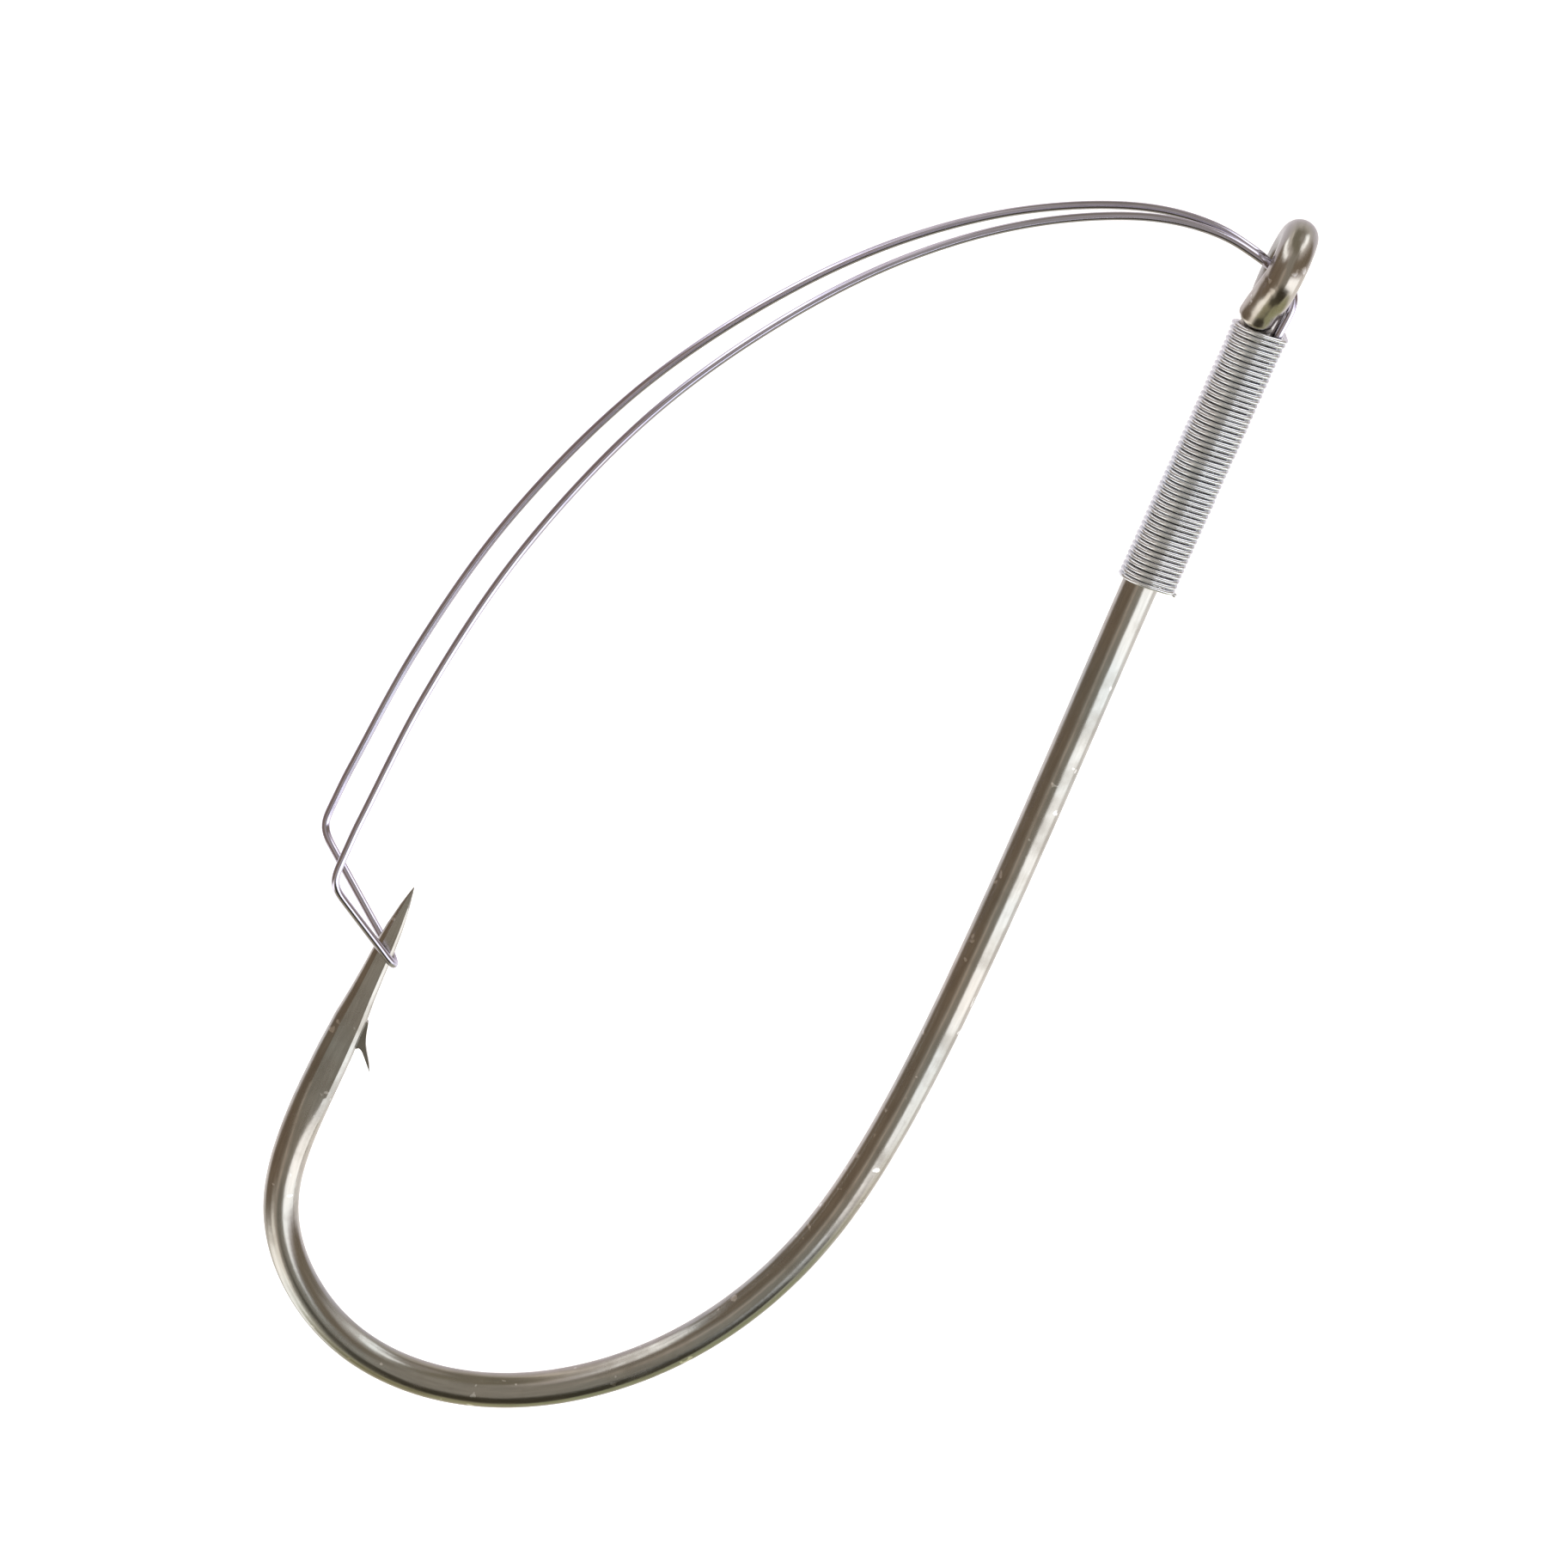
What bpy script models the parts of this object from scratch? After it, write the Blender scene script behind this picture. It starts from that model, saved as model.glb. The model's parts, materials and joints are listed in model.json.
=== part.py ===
# Weedless wide-gap fishing hook: a forged wire hook, a sprung hairpin guard and the whipping
# that binds the guard to the shank.
# The hook hangs by its eye: origin at the eye's centre, +Z up the shank, the hook's plane is XZ,
# the point and the gap are on the -X side. Lengths below are millimetres.
import math

import bmesh
import bpy
import numpy as np
from mathutils import Matrix, Vector

MM = 0.001

# Hook
HOOK_WIRE = 1.50
EYE_RADIUS = 1.42
EYE_TWIST = -6.0
SHANK_TOP = 1.35
# The shank leans forward a little from the eye, and is plumb below the whipping.
SHANK_LEAN = 1.2
# Distance down the wire from the eye's centre, and the curvature there in 1/mm.
BEND_CURVATURE = (
    (10.0, 0.0), (14.0, -0.0052), (18.0, 0.0), (32.0, 0.004), (40.0, 0.016), (46.0, 0.047),
    (58.0, 0.064), (65.0, 0.099), (69.0, 0.128), (72.0, 0.108), (75.5, 0.154), (79.0, 0.038),
    (83.0, 0.0),
)
POINT_AT = 90.96
# Distance back from the point, width in the hook's plane, thickness across it.
SPEAR_SECTIONS = (
    (0.0, 0.05, 0.05), (0.9, 0.42, 0.38), (1.9, 0.70, 0.60), (2.8, 0.86, 0.72), (4.1, 0.98, 0.84),
    (5.2, 1.12, 0.96), (6.4, 1.36, 1.08), (8.0, 1.50, 1.20), (10.5, 1.57, 1.34), (14.0, 1.50, 1.50),
)
FACETS_FULL = 8.5
FACETS_END = 13.5
# Outline of the barb in the hook's plane; its last two corners are buried in the spear.
BARB_OUTLINE = (
    (-23.12, -43.20), (-22.93, -44.25), (-22.26, -45.49), (-22.72, -44.92), (-23.00, -44.72),
    (-23.50, -44.70), (-23.50, -43.20),
)
BARB_THICKNESS = 0.40

# Guard
GUARD_WIRE = 0.34
TAIL_SPACING = 0.86
TAIL_BOTTOM = (0.65, -13.90)
TAIL_TOP = (0.81, -2.50)
# Route of the tail round the back of the eye and through its hole.
TAIL_ROUTE = ((0.97, -1.60), (0.86, -0.75), (0.30, -0.36), (-0.30, -0.20))
FLEX_POINT = (-0.82, 0.09)
FLEX_GAP = 0.08
ARM_ROUTE = (
    (-3.00, 0.51), (-5.90, 0.19), (-10.30, -1.70), (-14.56, -4.83), (-18.40, -9.05),
    (-21.94, -14.50), (-24.78, -21.50), (-26.30, -28.20), (-27.03, -34.60),
)
ELBOW = (-27.18, -37.15)
ELBOW_RADIUS = 1.1
ELBOW_STEPS = 6
LOWER_STEPS = 4
CATCH = (-23.45, -40.14)
CATCH_RADIUS = 0.70
CATCH_STEPS = 8
ELBOW_SPREAD = 2.50
GUARD_LEAN = 12.4

# Whipping
BINDING_WIRE = 0.21
BINDING_SLACK = 0.115
TURNS = 51
WHIPPING_TOP = -2.55
WHIPPING_BOTTOM = -14.10
STUB = 0.30


def clear_scene():
    for thing in list(bpy.data.objects):
        bpy.data.objects.remove(thing, do_unlink=True)


def new_collection(name, shown=True):
    collection = bpy.data.collections.new(name)
    bpy.context.scene.collection.children.link(collection)
    collection.hide_render = not shown
    return collection


def metal(name, colour, roughness):
    material = bpy.data.materials.new(name)
    material.use_nodes = True
    shader = material.node_tree.nodes["Principled BSDF"]
    shader.inputs["Base Color"].default_value = (*colour, 1.0)
    shader.inputs["Metallic"].default_value = 1.0
    shader.inputs["Roughness"].default_value = roughness
    return material


def add_object(name, mesh, collection, material=None):
    thing = bpy.data.objects.new(name, mesh)
    collection.objects.link(thing)
    if material:
        mesh.materials.append(material)
    return thing


def smooth_route(corners, spacing):
    """Points about `spacing` apart on a smooth curve through the corners (centripetal Catmull-Rom)."""
    knots = [Vector(corner) for corner in corners]
    padded = [2 * knots[0] - knots[1], *knots, 2 * knots[-1] - knots[-2]]
    route = []
    for before, start, end, after in zip(padded, padded[1:], padded[2:], padded[3:]):
        steps = max(2, round((end - start).length / spacing))
        gaps = [max((b - a).length, 1e-9) ** 0.5 for a, b in ((before, start), (start, end), (end, after))]
        leave = (start - before) / gaps[0] - (end - before) / (gaps[0] + gaps[1]) + (end - start) / gaps[1]
        arrive = (end - start) / gaps[1] - (after - start) / (gaps[1] + gaps[2]) + (after - end) / gaps[2]
        for step in range(steps):
            t = step / steps
            route.append(
                (2 * t**3 - 3 * t**2 + 1) * start
                + (t**3 - 2 * t**2 + t) * gaps[1] * leave
                + (3 * t**2 - 2 * t**3) * end
                + (t**3 - t**2) * gaps[1] * arrive
            )
    return [*route, knots[-1]]


def wire(name, points, diameter, collection, material, sides=1):
    """A round wire along the points (millimetres), as a poly curve with a filled bevel."""
    curve = bpy.data.curves.new(name, "CURVE")
    curve.dimensions = "3D"
    curve.bevel_depth = diameter / 2 * MM
    curve.bevel_resolution = sides
    curve.use_fill_caps = True
    spline = curve.splines.new("POLY")
    spline.points.add(len(points) - 1)
    for place, point in zip(spline.points, points):
        place.co = (*(Vector(point) * MM), 1.0)
    spline.use_smooth = True
    return add_object(name, curve, collection, material)


def hook_line(distance):
    """(position, heading) of the hook's centreline, in its plane, at a distance down the wire."""
    steps = np.linspace(0.0, distance, max(2, int(distance * 20)))
    curvature = np.interp(steps, *zip(*BEND_CURVATURE))
    pace = steps[1] - steps[0]
    turned = np.concatenate([[0.0], np.cumsum((curvature[1:] + curvature[:-1]) / 2 * pace)])
    heading = turned + math.radians(SHANK_LEAN)
    middle = (heading[1:] + heading[:-1]) / 2
    x = -np.sum(np.sin(middle)) * pace
    z = -np.sum(np.cos(middle)) * pace
    return (x, z), heading[-1]


def shank_x(z):
    """Where the leaning upper shank's axis is, at a height above the bend."""
    return z * math.tan(math.radians(SHANK_LEAN))


def round_section(sides, width, thickness):
    angles = [2 * math.pi * side / sides for side in range(sides)]
    return [(width / 2 * math.cos(angle), thickness / 2 * math.sin(angle)) for angle in angles]


def faceted_section(width, thickness):
    """Sixteen points round a ground spear: a narrow inner face, two side flats and a round back."""
    half = [
        (0.50, 0.00), (0.50, 0.18), (0.46, 0.26), (0.28, 0.38), (0.08, 0.47), (-0.16, 0.50),
        (-0.36, 0.40), (-0.47, 0.20), (-0.50, 0.00),
    ]
    whole = half + [(along, -across) for along, across in reversed(half[1:-1])]
    return [(width * along, thickness * across) for along, across in whole]


def loft(rings):
    """A closed tube of quads through rings of equal point counts, with a cap at each end."""
    shape = bmesh.new()
    loops = [[shape.verts.new(Vector(point) * MM) for point in ring] for ring in rings]
    sides = len(loops[0])
    for near, far in zip(loops, loops[1:]):
        for side in range(sides):
            following = (side + 1) % sides
            shape.faces.new((near[side], near[following], far[following], far[side]))
    shape.faces.new(reversed(loops[0]))
    shape.faces.new(loops[-1])
    bmesh.ops.recalc_face_normals(shape, faces=shape.faces)
    return shape


def finish_mesh(name, shape):
    mesh = bpy.data.meshes.new(name)
    shape.to_mesh(mesh)
    shape.free()
    mesh.shade_smooth()
    mesh.set_sharp_from_angle(angle=math.radians(30))
    return mesh


def spear_section(back):
    """Cross-section at a distance back from the point: faceted at the spear, round in the bend."""
    stations, widths, thicknesses = zip(*SPEAR_SECTIONS)
    width = np.interp(back, stations, widths)
    thickness = np.interp(back, stations, thicknesses)
    share = min(1.0, max(0.0, (FACETS_END - back) / (FACETS_END - FACETS_FULL)))
    round_points = round_section(16, width, thickness)
    flat_points = faceted_section(width, thickness)
    return [
        (a[0] + (b[0] - a[0]) * share, a[1] + (b[1] - a[1]) * share)
        for a, b in zip(round_points, flat_points)
    ]


def make_hook_wire():
    straight = [SHANK_TOP, 8.0, 12.0, 14.0, 16.0, 20.0, 26.0]
    curved = [30.0, 34.0, 37.0, 40.0, *np.arange(42.0, POINT_AT - 12.0, 1.5)]
    spear = [POINT_AT - back for back in (11.5, 10, 8.5, 7.2, 6.4, 5.2, 4.1, 2.8, 1.9, 0.9, 0.0)]
    rings = []
    for distance in [*straight, *curved, *spear]:
        (x, z), heading = hook_line(distance)
        inward = (-math.cos(heading), math.sin(heading))
        rings.append([
            (x + inward[0] * along, across, z + inward[1] * along)
            for along, across in spear_section(POINT_AT - distance)
        ])
    return finish_mesh("hook", loft(rings))


def make_barb(cutters):
    outline = bpy.data.curves.new("barb", "CURVE")
    outline.dimensions = "2D"
    outline.fill_mode = "BOTH"
    outline.extrude = BARB_THICKNESS / 2 * MM
    spline = outline.splines.new("POLY")
    spline.points.add(len(BARB_OUTLINE) - 1)
    for place, (x, z) in zip(spline.points, BARB_OUTLINE):
        place.co = (x * MM, z * MM, 0.0, 1.0)
    spline.use_cyclic_u = True
    flat = add_object("barb_outline", outline, cutters)
    flat.rotation_euler = (math.radians(90), 0.0, 0.0)
    return curve_to_mesh(flat, "barb", cutters)


def curve_to_mesh(thing, name, collection):
    bpy.context.view_layer.update()
    graph = bpy.context.evaluated_depsgraph_get()
    mesh = bpy.data.meshes.new_from_object(thing.evaluated_get(graph))
    shape = bmesh.new()
    shape.from_mesh(mesh)
    bmesh.ops.remove_doubles(shape, verts=shape.verts, dist=1e-7)
    bmesh.ops.recalc_face_normals(shape, faces=shape.faces)
    shape.to_mesh(mesh)
    shape.free()
    solid = add_object(name, mesh, collection)
    solid.matrix_world = thing.matrix_world
    bpy.data.objects.remove(thing)
    return solid


def make_eye(cutters):
    bpy.ops.mesh.primitive_torus_add(
        major_radius=EYE_RADIUS * MM,
        minor_radius=HOOK_WIRE / 2 * MM,
        major_segments=32,
        minor_segments=14,
        rotation=(0.0, math.radians(90), math.radians(EYE_TWIST)),
    )
    eye = bpy.context.object
    eye.name = "eye_ring"
    for collection in list(eye.users_collection):
        collection.objects.unlink(eye)
    cutters.objects.link(eye)
    return eye


def unite(body, others):
    for other in others:
        other.hide_render = True
        other.display_type = "WIRE"
        joint = body.modifiers.new("join_" + other.name, "BOOLEAN")
        joint.operation = "UNION"
        joint.solver = "EXACT"
        joint.object = other


def make_hook(parts, cutters):
    hook = add_object("hook", make_hook_wire(), parts, metal("hook_metal", (0.36, 0.32, 0.27), 0.28))
    unite(hook, [make_eye(cutters), make_barb(cutters)])
    return hook


def leaned(point, offset):
    """A point of the guard's mid line moved sideways by offset, on a guard that leans a little."""
    lean = math.radians(GUARD_LEAN)
    chord = (Vector(CATCH) - Vector(FLEX_POINT)).normalized()
    side = Vector((-chord.y, chord.x)) * math.sin(lean)
    return Vector((point[0] - side.x * offset, offset * math.cos(lean), point[1] - side.y * offset))


def arm_mid_line():
    """Mid line of one guard arm, from the flex point to where the catch turn begins."""
    upper = smooth_route([FLEX_POINT, *ARM_ROUTE], 1.1)
    corner = Vector(ELBOW)
    coming = (corner - upper[-1]).normalized()
    leaving = (Vector(CATCH) - corner).normalized()
    turn = coming.angle(leaving)
    inset = ELBOW_RADIUS * math.tan(turn / 2)
    bend = []
    for step in range(ELBOW_STEPS + 1):
        share = step / ELBOW_STEPS
        a = corner - coming * inset * (1 - share)
        b = corner + leaving * inset * share
        bend.append(a + (b - a) * share)
    straight = (Vector(CATCH) - bend[-1]).length
    lower = [bend[-1] + leaving * straight * step / LOWER_STEPS for step in range(1, LOWER_STEPS + 1)]
    return [*upper, *bend, *lower]


def guard_arm(side):
    """One arm in space: side is +1 for the far arm, -1 for the near one."""
    line = [Vector(point) for point in arm_mid_line()]
    run = np.concatenate([[0.0], np.cumsum([(b - a).length for a, b in zip(line, line[1:])])])
    elbow_run = run[-(LOWER_STEPS + 1) - ELBOW_STEPS // 2]
    start = TAIL_SPACING / 2
    points = []
    for point, distance in zip(line, run):
        if distance <= elbow_run:
            offset = start + (ELBOW_SPREAD - start) * (distance / elbow_run) ** 1.2
        else:
            share = (distance - elbow_run) / (run[-1] - elbow_run)
            offset = ELBOW_SPREAD + (CATCH_RADIUS - ELBOW_SPREAD) * share
        points.append(leaned(point, side * offset))
    return points


def catch_turn():
    """The hairpin's round end, from the near arm to the far arm."""
    outward = (Vector(CATCH) - Vector(ELBOW)).normalized()
    points = []
    for step in range(1, CATCH_STEPS):
        angle = math.pi * step / CATCH_STEPS
        reach = CATCH_RADIUS * math.sin(angle)
        point = Vector(CATCH) + outward * reach
        points.append(leaned(point, -CATCH_RADIUS * math.cos(angle)))
    return points


def make_guard(parts, material):
    near = guard_arm(-1)
    far = guard_arm(1)
    for arm in (near, far):
        arm[0] = arm[0] + (arm[1] - arm[0]).normalized() * FLEX_GAP
    points = [*near, *catch_turn(), *reversed(far)]
    return wire("guard_hairpin", points, GUARD_WIRE, parts, material)


def make_tail(name, side, parts, material):
    """The fixed end of a guard arm: down the back of the shank, under the whipping."""
    spacing = side * TAIL_SPACING / 2
    bottom = Vector((TAIL_BOTTOM[0], spacing, TAIL_BOTTOM[1]))
    top = Vector((TAIL_TOP[0], spacing, TAIL_TOP[1]))
    straight = [bottom + (top - bottom) * step / 6 for step in range(6)]
    route = [Vector((x, spacing, z)) for x, z in TAIL_ROUTE]
    bent = smooth_route([top, *route, leaned(FLEX_POINT, spacing)], 0.35)
    points = [*straight, *bent]
    return wire(name, points, GUARD_WIRE, parts, material)


def whipping_outline(z):
    """Points round the shank and both tails at a height, where the binding wire's centre runs."""
    clear = BINDING_WIRE / 2 + BINDING_SLACK
    tail_x = np.interp(z, (TAIL_BOTTOM[1], TAIL_TOP[1]), (TAIL_BOTTOM[0], TAIL_TOP[0]))
    axis_x = shank_x(z)
    offset = Vector((tail_x - axis_x, TAIL_SPACING / 2))
    # The outline leaves a tail for the shank where both reach equally far.
    slack = (HOOK_WIRE - GUARD_WIRE) / 2 / offset.length
    leave = math.atan2(offset.y, offset.x) + math.acos(slack)
    outline = []
    for centre_x, centre_y, radius, first, last, steps in (
        (tail_x, offset.y, GUARD_WIRE / 2, 0.0, leave, 2),
        (axis_x, 0.0, HOOK_WIRE / 2, leave, 2 * math.pi - leave, 7),
        (tail_x, -offset.y, GUARD_WIRE / 2, 2 * math.pi - leave, 2 * math.pi, 2),
    ):
        for angle in np.linspace(first, last, steps + 1):
            reach = radius + clear
            outline.append((centre_x + reach * math.cos(angle), centre_y + reach * math.sin(angle)))
    return outline


def make_whipping(parts, material):
    points = []
    pitch = (WHIPPING_TOP - WHIPPING_BOTTOM) / TURNS
    for turn in range(TURNS):
        low = WHIPPING_BOTTOM + pitch * turn
        outline = whipping_outline(low)
        for step, (x, y) in enumerate(outline):
            points.append(Vector((x, y, low + pitch * step / len(outline))))
    first = points[0] + (points[0] - points[1]).normalized() * STUB
    last = points[-1] + (points[-1] - points[-2]).normalized() * STUB
    return wire("whipping", [first, *points, last], BINDING_WIRE, parts, material)


def main():
    clear_scene()
    parts = new_collection("weedless_hook")
    cutters = new_collection("construction", shown=False)
    spring = metal("guard_metal", (0.42, 0.41, 0.42), 0.22)
    binding = metal("whipping_metal", (0.78, 0.78, 0.78), 0.25)
    make_hook(parts, cutters)
    guard_pivot = bpy.data.objects.new("guard_pivot", None)
    guard_pivot.location = (FLEX_POINT[0] * MM, 0.0, FLEX_POINT[1] * MM)
    parts.objects.link(guard_pivot)
    hairpin = make_guard(parts, spring)
    hairpin.parent = guard_pivot
    hairpin.matrix_parent_inverse = Matrix.Translation(guard_pivot.location).inverted()
    make_tail("guard_tail_near", -1, parts, spring)
    make_tail("guard_tail_far", 1, parts, spring)
    make_whipping(parts, binding)


main()
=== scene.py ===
import json
import math
import random
import bmesh
import bpy
import numpy as np
from mathutils import Matrix, Vector


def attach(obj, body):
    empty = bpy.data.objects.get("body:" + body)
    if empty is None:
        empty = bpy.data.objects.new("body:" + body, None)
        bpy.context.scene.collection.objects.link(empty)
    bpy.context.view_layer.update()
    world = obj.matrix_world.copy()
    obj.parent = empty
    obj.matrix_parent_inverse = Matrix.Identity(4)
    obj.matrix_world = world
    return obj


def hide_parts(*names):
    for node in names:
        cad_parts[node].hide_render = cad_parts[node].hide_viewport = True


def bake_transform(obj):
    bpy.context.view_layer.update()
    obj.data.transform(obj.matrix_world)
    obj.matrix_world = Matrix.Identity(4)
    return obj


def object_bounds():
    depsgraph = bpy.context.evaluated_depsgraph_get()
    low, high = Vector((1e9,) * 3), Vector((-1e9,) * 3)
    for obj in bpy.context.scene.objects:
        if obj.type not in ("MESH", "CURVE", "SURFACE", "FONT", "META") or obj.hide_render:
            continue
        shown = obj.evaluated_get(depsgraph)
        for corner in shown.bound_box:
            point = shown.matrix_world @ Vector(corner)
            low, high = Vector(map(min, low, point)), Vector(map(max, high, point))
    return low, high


# Looks of a weedless wide-gap hook: forged hook, sprung hairpin guard, fine wire whipping.
# Shapes are worked out in millimetres in the frame's own axes and scaled to metres at the end.

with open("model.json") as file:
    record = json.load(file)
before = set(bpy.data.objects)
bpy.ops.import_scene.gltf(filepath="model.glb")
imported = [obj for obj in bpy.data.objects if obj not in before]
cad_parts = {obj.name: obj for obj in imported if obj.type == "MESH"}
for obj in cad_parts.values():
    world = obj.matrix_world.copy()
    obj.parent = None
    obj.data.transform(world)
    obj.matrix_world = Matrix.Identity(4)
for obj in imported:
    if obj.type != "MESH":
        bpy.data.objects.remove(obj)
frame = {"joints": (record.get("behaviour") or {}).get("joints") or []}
cadLow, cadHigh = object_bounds()
mm = 0.001

flexJoint = frame["joints"][0]
flexAt = (flexJoint["pos_m"][0] / mm, flexJoint["pos_m"][2] / mm)


def smoothStep(low, high, value):
    share = np.clip((np.asarray(value, float) - low) / (high - low), 0.0, 1.0)
    return share * share * (3 - 2 * share)


def smoothRoute(corners, spacing):
    # centripetal Catmull-Rom through the corners
    knots = [np.array(corner, float) for corner in corners]
    padded = [2 * knots[0] - knots[1], *knots, 2 * knots[-1] - knots[-2]]
    route = []
    for before, start, end, after in zip(padded, padded[1:], padded[2:], padded[3:]):
        steps = max(2, round(np.linalg.norm(end - start) / spacing))
        gapA, gapB, gapC = [
            max(np.linalg.norm(b - a), 1e-9) ** 0.5
            for a, b in ((before, start), (start, end), (end, after))
        ]
        leave = (start - before) / gapA - (end - before) / (gapA + gapB) + (end - start) / gapB
        arrive = (end - start) / gapB - (after - start) / (gapB + gapC) + (after - end) / gapC
        for step in range(steps):
            t = step / steps
            route.append(
                (2 * t**3 - 3 * t**2 + 1) * start
                + (t**3 - 2 * t**2 + t) * gapB * leave
                + (3 * t**2 - 2 * t**3) * end
                + (t**3 - t**2) * gapB * arrive
            )
    return [*route, knots[-1]]


def resample(points, spacing):
    # the same line with points evenly apart
    points = np.array(points, float)
    run = np.concatenate([[0.0], np.cumsum(np.linalg.norm(np.diff(points, axis=0), axis=1))])
    wanted = np.linspace(0.0, run[-1], max(3, round(run[-1] / spacing) + 1))
    return np.stack([np.interp(wanted, run, points[:, axis]) for axis in range(3)], axis=1)


def softened(points, rounds):
    # rounds off small corners of a line and leaves its ends
    points = np.array(points, float)
    for _ in range(rounds):
        points[1:-1] = points[1:-1] / 2 + (points[:-2] + points[2:]) / 4
    return points


wireSharpAngle = 60.0          # edges sharper than this stay crisp on drawn wire


def meshPiece(name, vertices, faces):
    mesh = bpy.data.meshes.new(name)
    mesh.from_pydata([tuple(point) for point in np.array(vertices) * mm], [], faces)
    shape = bmesh.new()
    shape.from_mesh(mesh)
    bmesh.ops.recalc_face_normals(shape, faces=shape.faces)
    shape.to_mesh(mesh)
    shape.free()
    mesh.shade_smooth()
    mesh.set_sharp_from_angle(angle=math.radians(wireSharpAngle))
    piece = bpy.data.objects.new(name, mesh)
    bpy.context.scene.collection.objects.link(piece)
    return piece


def tubeFaces(rings, sides, closed=False):
    faces = []
    for ring in range(rings if closed else rings - 1):
        near, far = ring * sides, (ring + 1) % rings * sides
        for side in range(sides):
            following = (side + 1) % sides
            faces.append((near + side, near + following, far + following, far + side))
    if not closed:
        faces.append(tuple(reversed(range(sides))))
        faces.append(tuple(range((rings - 1) * sides, rings * sides)))
    return faces


def carriedFrames(points):
    # directions, and a side direction carried along the line without twisting
    points = np.array(points, float)
    ahead = np.gradient(points, axis=0)
    ahead /= np.linalg.norm(ahead, axis=1)[:, None]
    side = np.cross(ahead[0], (0.0, 1.0, 0.0))
    if np.linalg.norm(side) < 0.1:
        side = np.cross(ahead[0], (0.0, 0.0, 1.0))
    sides = []
    for direction in ahead:
        side = side - direction * np.dot(side, direction)
        side = side / np.linalg.norm(side)
        sides.append(side)
    return ahead, np.array(sides)


domeAngles = np.radians([12, 35, 60])
domeDepth = 0.6                # of the wire's radius


def sweptWire(name, points, radius, sides):
    # round wire along the points, with domed ends
    points = np.array(points, float)
    ahead, sideways = carriedFrames(points)
    first = [points[0] - ahead[0] * radius * domeDepth * math.cos(a) for a in domeAngles]
    last = [points[-1] + ahead[-1] * radius * domeDepth * math.cos(a) for a in domeAngles[::-1]]
    radii = np.array([
        *(radius * np.sin(domeAngles)),
        *np.full(len(points), float(radius)),
        *(radius * np.sin(domeAngles[::-1])),
    ])
    points = np.array([*first, *points, *last])
    ends = len(domeAngles)
    ahead = np.array([ahead[0]] * ends + list(ahead) + [ahead[-1]] * ends)
    sideways = np.array([sideways[0]] * ends + list(sideways) + [sideways[-1]] * ends)
    across = np.cross(ahead, sideways)
    angles = np.linspace(0.0, 2 * math.pi, sides, endpoint=False)
    rings = (
        points[:, None, :]
        + radii[:, None, None] * np.cos(angles)[None, :, None] * sideways[:, None, :]
        + radii[:, None, None] * np.sin(angles)[None, :, None] * across[:, None, :]
    )
    piece = meshPiece(name, rings.reshape(-1, 3), tubeFaces(len(points), sides))
    run = np.concatenate([[0.0], np.cumsum(np.linalg.norm(np.diff(points, axis=0), axis=1))])
    grain = np.stack([
        np.tile(np.cos(angles), len(points)),
        np.tile(np.sin(angles), len(points)),
        np.repeat(run, sides),
    ], axis=1)
    storeGrain(piece, grain)
    return piece


def storeGrain(piece, grain):
    # where a vertex is round the wire (x, y on a unit circle) and along it (z, millimetres)
    attribute = piece.data.attributes.new("wireGrain", "FLOAT_VECTOR", "POINT")
    attribute.data.foreach_set("vector", np.array(grain, np.float32).ravel())


# where each noise starts and ends its effect, the same in every finish
noiseEdges = {
    "drift": (0.35, 0.65),
    "cloud": (0.46, 0.72),
    "draw": (0.40, 0.62),
    "nickSoftness": 0.03,
    "smoothest": 0.05,
}


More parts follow.
